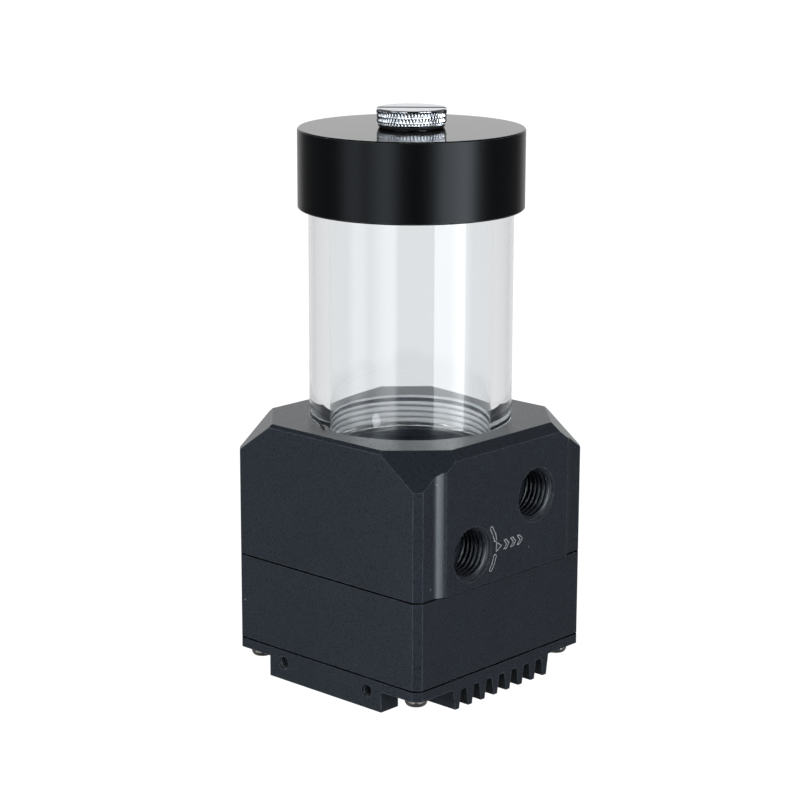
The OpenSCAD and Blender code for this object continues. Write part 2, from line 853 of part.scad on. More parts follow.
heat_sink_base();
corner_screws();
thermal_pad();
control_board();
board_components();
board_spacers();
motor_housing();
cable_grommet();
stator_core();
coil_bobbins();
stator_coils();
separator_can();
can_o_ring();
rotor_shaft();
thrust_washers();
rotor_bush();
rotor_yoke();
rotor_magnet();
impeller();
suction_spider();
pump_top_block();
tube_o_ring();
reservoir_tube();
cap_o_ring();
top_cap();
fill_plug_o_ring();
fill_plug();
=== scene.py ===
# %% [markdown]
# # Dressing a coolant pump with a tube reservoir
#
# The solids of the pump come ready made: a square block on a finned base, a clear tube, a
# turned cap and a plug. This lesson gives them their finish. It adds what is too fine for
# the solids, such as threads, the knurl of the plug and the engraved flow mark, and then
# lights everything softly.

import json
import math

import bpy
import numpy as np
from mathutils import Matrix, Vector


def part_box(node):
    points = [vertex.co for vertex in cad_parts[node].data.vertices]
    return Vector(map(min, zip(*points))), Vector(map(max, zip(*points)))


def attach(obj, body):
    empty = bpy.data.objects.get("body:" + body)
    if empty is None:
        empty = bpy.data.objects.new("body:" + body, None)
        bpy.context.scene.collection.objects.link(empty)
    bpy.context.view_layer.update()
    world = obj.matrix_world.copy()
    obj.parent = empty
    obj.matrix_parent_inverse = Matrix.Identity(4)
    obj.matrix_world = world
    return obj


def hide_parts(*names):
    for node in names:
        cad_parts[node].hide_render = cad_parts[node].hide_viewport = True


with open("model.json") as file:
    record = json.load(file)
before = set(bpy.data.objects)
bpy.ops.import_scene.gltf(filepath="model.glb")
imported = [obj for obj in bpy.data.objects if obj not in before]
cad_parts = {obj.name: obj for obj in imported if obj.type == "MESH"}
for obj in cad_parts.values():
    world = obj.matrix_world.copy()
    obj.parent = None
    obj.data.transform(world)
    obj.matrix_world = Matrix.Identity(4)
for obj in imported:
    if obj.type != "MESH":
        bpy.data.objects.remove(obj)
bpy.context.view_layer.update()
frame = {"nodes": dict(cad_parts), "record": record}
nodes = frame["nodes"]
mounts = {m["name"]: m for m in frame["record"]["mounts"]}
print("solids:", len(nodes), "mounts:", len(mounts))

# %% [markdown]
# ## Sizes
#
# Every place below comes from the solids themselves. A box gives heights, and the distance
# of a solid's points from the upright axis gives its radii, so nothing has to be fitted by
# hand. The few lengths typed here are those of threads, the knurl and the engraving.

# %% Sizes read from the solids
MM = 0.001
TURN = 2 * math.pi


def reach(node):
    """Least and greatest distance of a solid's points from the upright axis."""
    mesh = nodes[node].data
    co = np.empty(len(mesh.vertices) * 3, np.float32)
    mesh.vertices.foreach_get("co", co)
    away = np.hypot(co[0::3], co[1::3])
    return float(away.min()), float(away.max())


tube_in, tube_out = reach("reservoir_tube")
tube_foot, tube_head = (p.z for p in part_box("reservoir_tube"))
cap_foot, cap_head = (p.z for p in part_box("top_cap"))
plug_foot, plug_head = (p.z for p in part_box("fill_plug"))
_, plug_out = reach("fill_plug")
block_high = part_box("pump_top_block")[1]
pad_face = block_high.x
print("tube radii", tube_in, tube_out, "cap", cap_foot, cap_head, "plug radius", plug_out)

# %% [markdown]
# ## Surfaces from arrays
#
# A turned or threaded piece is a grid of points: rows follow the profile and columns go
# round the axis. Neighbouring points make a face with four corners. The columns always
# wrap, and for a ring the last row joins the first, so its skin has no seam or open end.


# %% Grid to mesh
def mesh_from(name, points, quads, fans=()):
    """A mesh object from points, four-sided faces and three-sided faces, all as arrays."""
    mesh = bpy.data.meshes.new(name)
    faces = quads.tolist() + [face for fan in fans for face in fan.tolist()]
    mesh.from_pydata(points.tolist(), [], faces)
    mesh.validate()
    piece = bpy.data.objects.new(name, mesh)
    bpy.context.scene.collection.objects.link(piece)
    return piece


def grid_quads(rows, columns, ring):
    """Faces of a grid whose columns always wrap, and whose rows wrap too when ring is true."""
    row = np.arange(rows if ring else rows - 1)[:, None]
    column = np.arange(columns)[None, :]
    up, across = (row + 1) % rows, (column + 1) % columns
    corners = (row * columns + column, row * columns + across,
               up * columns + across, up * columns + column)
    return np.stack([np.broadcast_to(c, (len(row), columns)) for c in corners], -1).reshape(-1, 4)


print("grid of 3 by 8 points has", len(grid_quads(3, 8, False)), "faces")

# %% [markdown]
# ## Turned skins
#
# Most pieces here come off a lathe. A lathe piece could be made with the Screw modifier, but
# a thread or a knurl changes the radius from point to point. So each piece is a grid of
# radii and heights instead, and the angles turn it into points.


# %% Turned skins
def around(columns):
    """Evenly spaced angles round the axis, as one row."""
    return np.linspace(0, TURN, columns, endpoint=False)[None, :]


def turned(name, radius, height, ring=True, along=None, angle=None):
    """Skin of a turned piece. Point (i, j) lies at angle j round the axis, at radius[i, j]
    from it and height[i, j] along it. The angles are evenly spaced if none are given. The
    axis is upright through the origin, or lies along +X through the point along. Without
    ring, a pole closes each end."""
    rows, columns = radius.shape
    angle = around(columns) if angle is None else angle
    points = np.stack([radius * np.cos(angle), radius * np.sin(angle), height], -1).reshape(-1, 3)
    fans = []
    if not ring:
        poles = [[0, 0, height[0].mean()], [0, 0, height[-1].mean()]]
        first, last = np.arange(columns), (rows - 1) * columns + np.arange(columns)
        low, high = np.full(columns, len(points)), np.full(columns, len(points) + 1)
        fans = [np.stack([low, np.roll(first, -1), first], -1),
                np.stack([high, last, np.roll(last, -1)], -1)]
        points = np.vstack([points, poles])
    if along is not None:
        points = points[:, [2, 0, 1]] + np.array(along)
    return mesh_from(name, points, grid_quads(rows, columns, ring), fans)


print("angles of 8 columns:", around(8).round(2).tolist())

# %% [markdown]
# ## Shading
#
# A turned piece should look round although its faces are flat. Smooth shading does that, but
# it would also blur a true edge such as a rim. Marking the steep edges as sharp keeps both.


# %% Smooth shading
SHARP_DEGREES = 40


def smooth(piece, sharp_degrees=SHARP_DEGREES):
    """Shades a piece smooth, with an edge kept sharp where its faces meet more steeply."""
    piece.data.shade_smooth()
    piece.data.set_sharp_from_angle(angle=math.radians(sharp_degrees))
    return piece


print("edges count as sharp from", SHARP_DEGREES, "degrees")

# %% [markdown]
# ## Shader groups
#
# Machined and anodised aluminium is never one flat black. It has the grain of the blasting,
# the faint lines of the cutter, edges where the black layer is thin and that catch the light,
# and some dust. The pale edges are partly wear and partly a painted highlight. Each of these
# effects is a group with named inputs, built once and set differently in each material. A
# group puts out only masks and heights: the shader stays in the material.


# %% Helpers for node trees
def add(tree, kind, **settings):
    """A node of the given kind. Settings are its properties; inputs=... sets its sockets."""
    node = tree.nodes.new(kind)
    for socket, value in settings.pop("inputs", {}).items():
        if isinstance(value, bpy.types.NodeSocket):
            tree.links.new(value, node.inputs[socket])
        else:
            node.inputs[socket].default_value = value
    for key, value in settings.items():
        setattr(node, key, value)
    return node


def math_node(tree, operation, first, second=0.0, third=0.0):
    """The output of one Math node."""
    node = add(tree, "ShaderNodeMath", operation=operation, inputs={0: first, 1: second, 2: third})
    return node.outputs[0]


def spread(tree, value, low, high, to_low=0.0, to_high=1.0):
    """Maps low..high to to_low..to_high, clamped and eased."""
    node = add(tree, "ShaderNodeMapRange", interpolation_type="SMOOTHSTEP",
               inputs={0: value, 1: low, 2: high, 3: to_low, 4: to_high})
    return node.outputs[0]


def new_group(name, inputs, outputs):
    """An empty shader group with float sockets, its input node and its output node."""
    group = bpy.data.node_groups.new(name, "ShaderNodeTree")
    for socket, default in inputs.items():
        made = group.interface.new_socket(name=socket, in_out="INPUT", socket_type="NodeSocketFloat")
        made.default_value = default
    for socket in outputs:
        group.interface.new_socket(name=socket, in_out="OUTPUT", socket_type="NodeSocketFloat")
    return group, group.nodes.new("NodeGroupInput"), group.nodes.new("NodeGroupOutput")


def use(tree, group, **values):
    """Places a group in a material's tree. An underscore in a name stands for a space."""
    node = tree.nodes.new("ShaderNodeGroup")
    node.node_tree = group
    for socket, value in values.items():
        node.inputs[socket.replace("_", " ")].default_value = value
    return node


print("helpers: add, math_node, spread, new_group, use")


# %% Grain: what blasting leaves
def make_grain():
    """Two octaves of noise. Scale is in cells per metre, Contrast narrows the mask."""
    group, given, result = new_group("grain", {"Scale": 4000.0, "Contrast": 0.2}, ["Height", "Mask"])
    place = add(group, "ShaderNodeTexCoord")
    noise = add(group, "ShaderNodeTexNoise",
                inputs={"Vector": place.outputs["Object"], "Scale": given.outputs["Scale"],
                        "Detail": 2.0, "Roughness": 0.6})
    low = math_node(group, "SUBTRACT", 0.5, given.outputs["Contrast"])
    high = math_node(group, "ADD", 0.5, given.outputs["Contrast"])
    mask = add(group, "ShaderNodeMapRange", inputs={0: noise.outputs["Fac"], 1: low, 2: high})
    group.links.new(noise.outputs["Fac"], result.inputs["Height"])
    group.links.new(mask.outputs[0], result.inputs["Mask"])
    return group


grain = make_grain()
print("made the group", grain.name)


# %% Cutter lines: what milling and turning leave
def make_cutter_lines():
    """Noise squeezed along Z, so that it draws level lines on every upright face."""
    group, given, result = new_group("cutter lines", {"Lines": 5000.0, "Length": 60.0}, ["Height"])
    place = add(group, "ShaderNodeTexCoord")
    squeeze = add(group, "ShaderNodeCombineXYZ",
                  inputs={0: given.outputs["Length"], 1: given.outputs["Length"],
                          2: given.outputs["Lines"]})
    scaled = add(group, "ShaderNodeVectorMath", operation="MULTIPLY",
                 inputs={0: place.outputs["Object"], 1: squeeze.outputs[0]})
    noise = add(group, "ShaderNodeTexNoise",
                inputs={"Vector": scaled.outputs[0], "Scale": 1.0, "Detail": 2.0})
    group.links.new(noise.outputs["Fac"], result.inputs["Height"])
    return group


cutter_lines = make_cutter_lines()
print("made the group", cutter_lines.name)


# %% Worn edges and painted highlight: where a layer is thin and an edge catches light
def make_edge_wear_and_highlight():
    """The normal rounded over Radius differs from the true one only near an edge. The mask
    grows with that difference and is broken up by noise."""
    group, given, result = new_group("edge wear and highlight", {"Radius": 0.0003, "Amount": 1.0}, ["Mask"])
    rounded = add(group, "ShaderNodeBevel", samples=4, inputs={"Radius": given.outputs["Radius"]})
    true = add(group, "ShaderNodeNewGeometry")
    dot = add(group, "ShaderNodeVectorMath", operation="DOT_PRODUCT",
              inputs={0: rounded.outputs[0], 1: true.outputs["Normal"]})
    near = spread(group, dot.outputs["Value"], 0.995, 0.9)
    place = add(group, "ShaderNodeTexCoord")
    noise = add(group, "ShaderNodeTexNoise",
                inputs={"Vector": place.outputs["Object"], "Scale": 900.0, "Detail": 3.0})
    broken = spread(group, noise.outputs["Fac"], 0.3, 0.6, 0.35, 1.0)
    # Near an edge the mask stands for wear of the layer and also for a painted highlight where the
    # edge catches light.
    worn_and_lit = math_node(group, "MULTIPLY", near, broken)
    mask = math_node(group, "MULTIPLY", worn_and_lit, given.outputs["Amount"])
    group.links.new(mask, result.inputs["Mask"])
    return group


edge_wear_and_highlight = make_edge_wear_and_highlight()
print("made the group", edge_wear_and_highlight.name)


# %% Dust: a few specks
def make_dust():
    """Small dots round random points: Spacing cells per metre, Size as a share of a cell."""
    group, given, result = new_group("dust", {"Spacing": 130.0, "Size": 0.02}, ["Mask"])
    place = add(group, "ShaderNodeTexCoord")
    cells = add(group, "ShaderNodeTexVoronoi",
                inputs={"Vector": place.outputs["Object"], "Scale": given.outputs["Spacing"],
                        "Randomness": 1.0})
    mask = math_node(group, "LESS_THAN", cells.outputs["Distance"], given.outputs["Size"])
    group.links.new(mask, result.inputs["Mask"])
    return group


dust = make_dust()
print("shader groups:", [g.name for g in bpy.data.node_groups])

# %% [markdown]
# ## A material, its colours and its bump
#
# Every finish here is one Principled shader. Plain values are set on the shader itself, and
# nodes feed only what changes over the surface, so the three helpers below are enough.


# %% Helpers for materials
def new_material(name, colour, roughness, metallic=0.0, **sockets):
    """A Principled material with its plain values set on the shader itself."""
    material = bpy.data.materials.new(name)
    material.use_nodes = True
    tree = material.node_tree
    shader = tree.nodes["Principled BSDF"]
    shader.inputs["Base Color"].default_value = (*colour, 1.0)
    shader.inputs["Roughness"].default_value = roughness
    shader.inputs["Metallic"].default_value = metallic
    for socket, value in sockets.items():
        shader.inputs[socket.replace("_", " ")].default_value = value
    return material, tree, shader


def colour_between(tree, mask, first, second):
    """A colour that goes from first to second with the mask. Either may be a socket."""
    ends = [c if isinstance(c, bpy.types.NodeSocket) else (*c, 1.0) for c in (first, second)]
    node = add(tree, "ShaderNodeMix", data_type="RGBA", inputs={0: mask, 6: ends[0], 7: ends[1]})
    return node.outputs[2]


def bump(tree, shader, height, distance, strength=1.0, before=None):
    """Bumps the shader's normal by a height, with its distance in metres."""
    node = add(tree, "ShaderNodeBump",
               inputs={"Height": height, "Distance": distance, "Strength": strength})
    if before is not None:
        tree.links.new(before, node.inputs["Normal"])
    tree.links.new(node.outputs[0], shader.inputs["Normal"])
    return node.outputs[0]


print("helpers: new_material, colour_between, bump")

# %% [markdown]
# ## Black anodised aluminium
#
# The block and the base are milled, blasted and dyed black with a hint of blue. The grain
# breaks the highlight, level cutter lines show faintly through it, and the sharp edges are
# paler, partly because the layer is thinnest there and partly as a painted highlight where
# the edges catch the light. Where two storeys meet, the joint is a hairline of shadow. It is
# far finer than the rounding of the edges, so a mask paints that shadow into the colour.

# %% Painted shadow in the joint between the storeys
BLACK = (0.0142, 0.0176, 0.0232)
COOL = (0.86, 0.93, 1.0, 1.0)
DUST_GREY = (0.3, 0.31, 0.33)
# Colour of the painted shadow in the joints between the storeys.
JOINT_SHADOW = (0.0015, 0.0015, 0.002)


def joint_shadow_mask(tree):
    """Mask of the painted shadow in the joints: 1 at the two heights where the storeys meet, and 0
    from 0.3 mm above and below them.
    """
    place = add(tree, "ShaderNodeTexCoord")
    height = add(tree, "ShaderNodeSeparateXYZ", inputs={0: place.outputs["Object"]}).outputs["Z"]
    mask = 0.0
    for node in ("motor_housing", "pump_top_block"):
        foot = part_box(node)[0].z
        off = math_node(tree, "ABSOLUTE", math_node(tree, "SUBTRACT", height, foot))
        mask = math_node(tree, "MAXIMUM", spread(tree, off, 0.3 * MM, 0.16 * MM), mask)
    return mask


# %% Anodised material
def make_anodised(name, colour, roughness, line_depth, edge_colour):
    """Dyed layer: clouds and speckle in the base colour, pale edges that are partly wear and
    partly painted highlight, dust and a painted shadow in the joints, over a bump of cutter
    lines with the blasted grain on top of them."""
    material, tree, shader = new_material(name, colour, roughness, IOR=1.62, Specular_Tint=COOL)
    joint = joint_shadow_mask(tree)
    blasted = use(tree, grain, Scale=3000.0, Contrast=0.16)
    lines = use(tree, cutter_lines, Lines=3800.0, Length=45.0)
    worn_and_lit = use(tree, edge_wear_and_highlight, Radius=0.0003, Amount=0.9)
    specks = use(tree, dust, Spacing=110.0, Size=0.024)
    cloud = use(tree, grain, Scale=60.0, Contrast=0.3)
    lighter = tuple(1.3 * c for c in colour)
    pale = tuple(3.2 * c for c in colour)
    clouded = colour_between(tree, cloud.outputs["Mask"], colour, lighter)
    speckle = math_node(tree, "MULTIPLY", blasted.outputs["Mask"], 0.45)
    mottled = colour_between(tree, speckle, clouded, pale)
    # Pale edges: partly wear of the dyed layer, partly a painted highlight on the sharp edges.
    edged = colour_between(tree, worn_and_lit.outputs["Mask"], mottled, edge_colour)
    dusty = colour_between(tree, specks.outputs["Mask"], edged, DUST_GREY)
    # Painted shadow in the joints: the colour falls to near black and the shine to nothing where the
    # storeys meet.
    joint_shadowed = colour_between(tree, joint, dusty, JOINT_SHADOW)
    tree.links.new(joint_shadowed, shader.inputs["Base Color"])
    tree.links.new(spread(tree, joint, 0.0, 1.0, 0.4, 0.0), shader.inputs["Specular IOR Level"])
    rough = spread(tree, blasted.outputs["Mask"], 0.0, 1.0, roughness - 0.04, roughness + 0.05)
    tree.links.new(rough, shader.inputs["Roughness"])
    first = bump(tree, shader, lines.outputs["Height"], line_depth, 0.5)
    bump(tree, shader, blasted.outputs["Height"], 0.00002, 0.45, before=first)
    return material


block_black = make_anodised("anodised_block", BLACK, 0.31, 0.000015, (0.17, 0.18, 0.2))
print("made", block_black.name)

# %% [markdown]
# ## The turned cap
#
# The cap is the same black layer over a turned surface. Its side keeps the fine level lines
# of the lathe and a satin shine. Its top is polished and mirrors the plug, so the roughness
# falls where the surface lies at the height of the top face.


# %% Cap material
def make_cap_black(name):
    """Satin on the side and polished on top: roughness and shine change at the top edge."""
    side_rough, top_rough = 0.3, 0.1
    material, tree, shader = new_material(name, BLACK, side_rough, IOR=1.6, Specular_Tint=COOL)
    place = add(tree, "ShaderNodeTexCoord")
    apart = add(tree, "ShaderNodeSeparateXYZ", inputs={0: place.outputs["Object"]})
    on_top = spread(tree, apart.outputs["Z"], cap_head - 0.35 * MM, cap_head - 0.05 * MM)
    fine = use(tree, grain, Scale=2600.0, Contrast=0.3)
    drift = spread(tree, fine.outputs["Mask"], 0.0, 1.0, -0.02, 0.03)
    rough = spread(tree, on_top, 0.0, 1.0, side_rough, top_rough)
    tree.links.new(math_node(tree, "ADD", rough, drift), shader.inputs["Roughness"])
    shine = spread(tree, on_top, 0.0, 1.0, 0.15, 0.3)
    tree.links.new(shine, shader.inputs["Specular IOR Level"])
    worn_and_lit = use(tree, edge_wear_and_highlight, Radius=0.00018, Amount=0.7)
    specks = use(tree, dust, Spacing=120.0, Size=0.016)
    # Pale edges on the cap: partly wear, partly a painted highlight on the edges.
    edged = colour_between(tree, worn_and_lit.outputs["Mask"], (0.0022, 0.0024, 0.003), (0.16, 0.165, 0.15))
    dusty = colour_between(tree, specks.outputs["Mask"], edged, DUST_GREY)
    tree.links.new(dusty, shader.inputs["Base Color"])
    lines = use(tree, cutter_lines, Lines=9000.0, Length=30.0)
    bump(tree, shader, lines.outputs["Height"], 0.000016, 0.5)
    return material


cap_black = make_cap_black("anodised_cap")
print("made", cap_black.name)

# %% [markdown]
# ## Clear acrylic
#
# The tube is polished acrylic. A real wall with two surfaces bends the view, which is what
# shows the threads at its foot, so the tube stays a solid wall with a refractive index of
# 1.49. Light that only has to pass through it on its way to something else is let straight
# through, because the tube throws hardly any shadow. A thread isn't polished after it is
# cut, so a white frost lies on its crests.


# %% Acrylic material
FROST = 0.5


def make_acrylic(name):
    """Clear glass-like shader, mixed with a white diffuse one where the threads are cut, and
    with a transparent one for rays that only test for shadow."""
    material, tree, shader = new_material(name, (0.965, 0.98, 0.988), 0.0, IOR=1.49)
    shader.inputs["Transmission Weight"].default_value = 1.0
    haze = use(tree, grain, Scale=700.0, Contrast=0.35)
    rough = spread(tree, haze.outputs["Mask"], 0.0, 1.0, 0.0, 0.012)
    tree.links.new(rough, shader.inputs["Roughness"])
    place = add(tree, "ShaderNodeTexCoord")
    apart = add(tree, "ShaderNodeSeparateXYZ", inputs={0: place.outputs["Object"]})
    low = spread(tree, apart.outputs["Z"], block_high.z + 0.1 * MM, block_high.z - 0.2 * MM)
    high = spread(tree, apart.outputs["Z"], cap_foot - 0.1 * MM, cap_foot + 0.1 * MM)
    level = add(tree, "ShaderNodeCombineXYZ",
                inputs={0: apart.outputs["X"], 1: apart.outputs["Y"]})
    away = add(tree, "ShaderNodeVectorMath", operation="LENGTH", inputs={0: level.outputs[0]})
    crest = spread(tree, away.outputs["Value"], tube_out - 0.95 * MM, tube_out - 0.15 * MM)
    cut = math_node(tree, "MULTIPLY", math_node(tree, "MAXIMUM", low, high), crest)
    share = math_node(tree, "MULTIPLY", cut, FROST)
    frost = add(tree, "ShaderNodeBsdfDiffuse", inputs={0: (0.95, 0.96, 0.97, 1.0)})
    frosted = add(tree, "ShaderNodeMixShader",
                  inputs={0: share, 1: shader.outputs[0], 2: frost.outputs[0]})
    path = add(tree, "ShaderNodeLightPath")
    clear = add(tree, "ShaderNodeBsdfTransparent", inputs={0: (0.97, 0.98, 0.98, 1.0)})
    mix = add(tree, "ShaderNodeMixShader",
              inputs={0: path.outputs["Is Shadow Ray"], 1: frosted.outputs[0],
                      2: clear.outputs[0]})
    tree.links.new(mix.outputs[0], tree.nodes["Material Output"].inputs["Surface"])
    return material


acrylic = make_acrylic("clear_acrylic")
print("made", acrylic.name)

# %% [markdown]
# ## Bright metals
#
# The plug is nickel plated brass and the corner screws are plain stainless steel. Inside are
# drawn and laminated steel, copper and the magnet. They share one recipe, and differ in
# colour, in how rough they are and in the lines that show on them.


# %% Metals
def make_metal(name, colour, roughness, scratch=0.00001, lines=2500.0):
    """Metal whose tone and roughness drift with the grain, under level scratches."""
    material, tree, shader = new_material(name, colour, roughness, metallic=1.0)
    fine = use(tree, grain, Scale=1800.0, Contrast=0.3)
    rough = spread(tree, fine.outputs["Mask"], 0.0, 1.0, 0.8 * roughness, 1.3 * roughness)
    tree.links.new(rough, shader.inputs["Roughness"])
    darker = tuple(0.88 * c for c in colour)
    tone = colour_between(tree, fine.outputs["Mask"], colour, darker)
    tree.links.new(tone, shader.inputs["Base Color"])
    marks = use(tree, cutter_lines, Lines=lines, Length=200.0)
    bump(tree, shader, marks.outputs["Height"], scratch, 0.3)
    return material


nickel = make_metal("bright_nickel", (0.76, 0.8, 0.85), 0.07, scratch=0.000003)
stainless = make_metal("stainless_steel", (0.5, 0.48, 0.45), 0.34)
can_steel = make_metal("drawn_steel", (0.62, 0.61, 0.59), 0.24)
core_steel = make_metal("laminated_steel", (0.4, 0.4, 0.41), 0.42, 0.00002, 2000.0)
copper = make_metal("copper_wire", (0.82, 0.36, 0.16), 0.3, 0.00006, 1600.0)
magnet_black = make_metal("ferrite", (0.16, 0.16, 0.17), 0.5)
print("metals end with", magnet_black.name)

# %% [markdown]
# ## Rubber, plastics and ceramic
#
# These are dull or coloured all through. They share one recipe: a base colour that drifts a
# little, a roughness with grain in it, and a shallow bump. Rubber is dark and dull, ceramic
# white and glossy. The bare metal of the engraving is matt enough to be one of them.


# %% Plain substances
def make_plain(name, colour, roughness, depth=0.00001, scale=1500.0):
    """Substance without shine of its own: drifting tone, grained roughness, shallow bump."""
    material, tree, shader = new_material(name, colour, roughness)
    skin = use(tree, grain, Scale=scale, Contrast=0.25)
    darker = tuple(0.8 * c for c in colour)
    tone = colour_between(tree, skin.outputs["Mask"], colour, darker)
    tree.links.new(tone, shader.inputs["Base Color"])
    low, high = 0.9 * roughness, min(1.0, 1.15 * roughness)
    rough = spread(tree, skin.outputs["Mask"], 0.0, 1.0, low, high)
    tree.links.new(rough, shader.inputs["Roughness"])
    bump(tree, shader, skin.outputs["Height"], depth, 0.4)
    return material


bare_aluminium = make_plain("engraved_aluminium", (0.62, 0.63, 0.65), 0.4)
rubber = make_plain("black_rubber", (0.013, 0.013, 0.014), 0.55)
silicone = make_plain("thermal_silicone", (0.36, 0.42, 0.5), 0.7)
solder_mask = make_plain("solder_mask", (0.01, 0.09, 0.04), 0.32)
chip_black = make_plain("moulded_black", (0.022, 0.022, 0.024), 0.5)
nylon = make_plain("natural_nylon", (0.74, 0.72, 0.64), 0.5)
glass_filled = make_plain("glass_filled_plastic", (0.62, 0.6, 0.54), 0.45, 0.00002, 900.0)
ceramic_white = make_plain("ground_ceramic", (0.86, 0.85, 0.8), 0.18, 0.000002)
carbon_grey = make_plain("sintered_carbon", (0.04, 0.04, 0.043), 0.45)
print("materials so far:", len(bpy.data.materials))

# %% [markdown]
# ## Finishes for the solids
#
# The record of the pump names a material slot for each solid. A table from slot to finish
# dresses them all in one loop, the hidden ones too, because the pump may be taken apart.

# %% Dress the solids
FINISH = {
    "black_body": block_black, "black_cap": cap_black, "screw_steel": stainless,
    "thermal_pad": silicone, "circuit_board": solder_mask, "chips": chip_black,
    "spacer_nylon": nylon, "black_rubber": rubber, "core_steel": core_steel,
    "bobbin_nylon": nylon, "copper_wire": copper, "can_steel": can_steel,
    "ceramic": ceramic_white, "carbon": carbon_grey, "magnet": magnet_black,
    "impeller_plastic": glass_filled, "black_plastic": chip_black,
    "clear_acrylic": acrylic, "plug_plating": nickel,
}
slot_of = {s["node"]: s["material_slot"] for s in frame["record"]["subparts"]}
for node, solid in nodes.items():
    finish = FINISH[slot_of[node]]
    for slot in solid.material_slots:
        slot.material = finish
    if not solid.material_slots:
        solid.data.materials.append(finish)
print("finishes given to", len(nodes), "solids")


# %% [markdown]
# ## New pieces
#
# The pump moves: the cap unscrews and the plug lifts out. So each new piece says which body
# it rides on, and takes the finish of the slot of the solid that it belongs to.


# %% Dress a new piece
def dress(piece, body, slot, material=None):
    """Gives a new piece its material, by default the finish of the record's material slot, and its
    body.
    """
    piece.data.materials.clear()
    piece.data.materials.append(material or FINISH[slot])
    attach(piece, body)
    return piece


print("slots to choose from:", len(FINISH))

# %% [markdown]
# ## Screw threads
#
# A right-hand thread climbs by one pitch in each turn. So its depth depends on one number
# only, the height in pitches less the angle in turns. A wave of that number, laid on a grid
# of angles and heights, is a true thread, and it stays in mesh when the cap turns and rises.

# %% Thread wave
TUBE_PITCH = 1.5 * MM
TUBE_THREAD_DEPTH = 0.75 * MM
PORT_PITCH = 1.337 * MM


def ramp(x, start, end):
    """0 before start, 1 after end, and the curve 3t^2 - 2t^3 between them."""
    t = np.clip((x - start) / (end - start), 0, 1)
    return t * t * (3 - 2 * t)


def thread_depth(angle, height, pitch, flat=0.12):
    """0 on the crest and 1 at the root: a triangle wave of height / pitch - angle / turn,
    with its tips cut off by the share flat."""
    phase = (height / pitch - angle / TURN) % 1
    wave = np.abs(2 * phase - 1)
    return np.clip((wave - flat) / (1 - 2 * flat), 0, 1)


def steps(start, end, step):
    """Evenly spaced heights from start to end as one column, about a step apart."""
    count = max(2, int(round(abs(end - start) / step)) + 1)
    return np.linspace(start, end, count)[:, None]


print("thread depths up one pitch:", thread_depth(0, steps(0, 1, 0.25), 1).ravel().round(2))

# %% [markdown]
# ## The tube
#
# The tube is a length of thick acrylic pipe with a thread cut into each end. Its solid is
# plain, so it is drawn again with the same outline. The rows lie close together in the
# threads and far apart on the plain wall. A bevel at each rim breaks the sharp edge.


# %% The tube
def make_tube():
    """Wall of the tube. The outside goes up, the inside comes down, and the two threads cut
    into the outside fade out where the tube leaves its sockets."""
    angle = around(192)
    row = TUBE_PITCH / 10
    foot_end = block_high.z - 0.5 * MM
    head_start = cap_foot + 0.6 * MM
    bevel = 0.35 * MM
    outside = np.vstack([steps(tube_foot + bevel, foot_end, row),
                         steps(foot_end + row, head_start - row, 8 * MM),
                         steps(head_start, tube_head - bevel, row)])
    in_foot = ramp(outside, foot_end, foot_end - TUBE_PITCH)
    in_head = ramp(outside, head_start, head_start + TUBE_PITCH)
    depth = TUBE_THREAD_DEPTH * (in_foot + in_head)
    radius = tube_out - depth * thread_depth(angle, outside, TUBE_PITCH)
    full = np.ones_like(angle)
    inside = steps(tube_head - bevel, tube_foot + bevel, 8 * MM)
    radius = np.vstack([(tube_out - bevel - TUBE_THREAD_DEPTH) * full, radius,
                        (tube_out - bevel - TUBE_THREAD_DEPTH) * full,
                        (tube_in + bevel) * full, tube_in + 0 * inside * full,
                        (tube_in + bevel) * full])
    height = np.vstack([tube_foot * full, outside * full, tube_head * full, tube_head * full,
                        inside * full, tube_foot * full])
    tube = smooth(turned("clear_tube", radius, height), 20)
    dress(tube, "pump_body", "clear_acrylic")
    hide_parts("reservoir_tube")
    return tube


tube = make_tube()
print("tube:", len(tube.data.polygons), "faces")


# %% [markdown]
# ## The end of the thread
#
# Where the cutter left the tube, the thread ends in a narrow notch, which shows as a dark
# line of shade. A black strip, bent like the cutter's way out, paints that shade, because only
# its line is ever seen.

# %% Painted shade of the thread run-out
NOTCH_POINTS = 12
NOTCH_START, NOTCH_SWEEP = -103, -18
NOTCH_WIDTH = 0.6 * MM


def make_run_out_shade():
    """A thin black strip through the wall at the level of the block, which paints the shade of
    the notch. Its radius falls and its angle sweeps evenly from outside to inside, and its
    width falls to two fifths."""
    share = np.linspace(0, 1, NOTCH_POINTS)
    turn = np.radians(NOTCH_START + NOTCH_SWEEP * share)
    radius = tube_out + 0.4 * MM - 5.2 * MM * share
    middle = np.stack([radius * np.cos(turn), radius * np.sin(turn)], -1)
    ahead = np.gradient(middle, axis=0)
    ahead /= np.linalg.norm(ahead, axis=1)[:, None]
    half = NOTCH_WIDTH / 2 * (1 - 0.6 * share)
    aside = np.stack([-ahead[:, 1], ahead[:, 0]], -1) * half[:, None]
    low, high = block_high.z - 0.2 * MM, block_high.z + 0.4 * MM
    corners = [(middle - aside, low), (middle + aside, low), (middle + aside, high),
               (middle - aside, high)]
    points = np.stack([np.column_stack([flat, np.full(NOTCH_POINTS, z)]) for flat, z in corners], 1)
    first_end = np.array([[0, 1, 2], [0, 2, 3]])
    last_end = 4 * NOTCH_POINTS - np.array([[2, 3, 4], [1, 2, 4]])
    strip = mesh_from("thread_run_out_shade", points.reshape(-1, 3),
                      grid_quads(NOTCH_POINTS, 4, False)[:, ::-1], [first_end, last_end])
    # The black finish is painted shade: the notch has no dark part of its own.
    return dress(strip, "pump_body", "black_rubber")


run_out_shade = make_run_out_shade()
print("run-out:", len(run_out_shade.data.polygons), "faces")

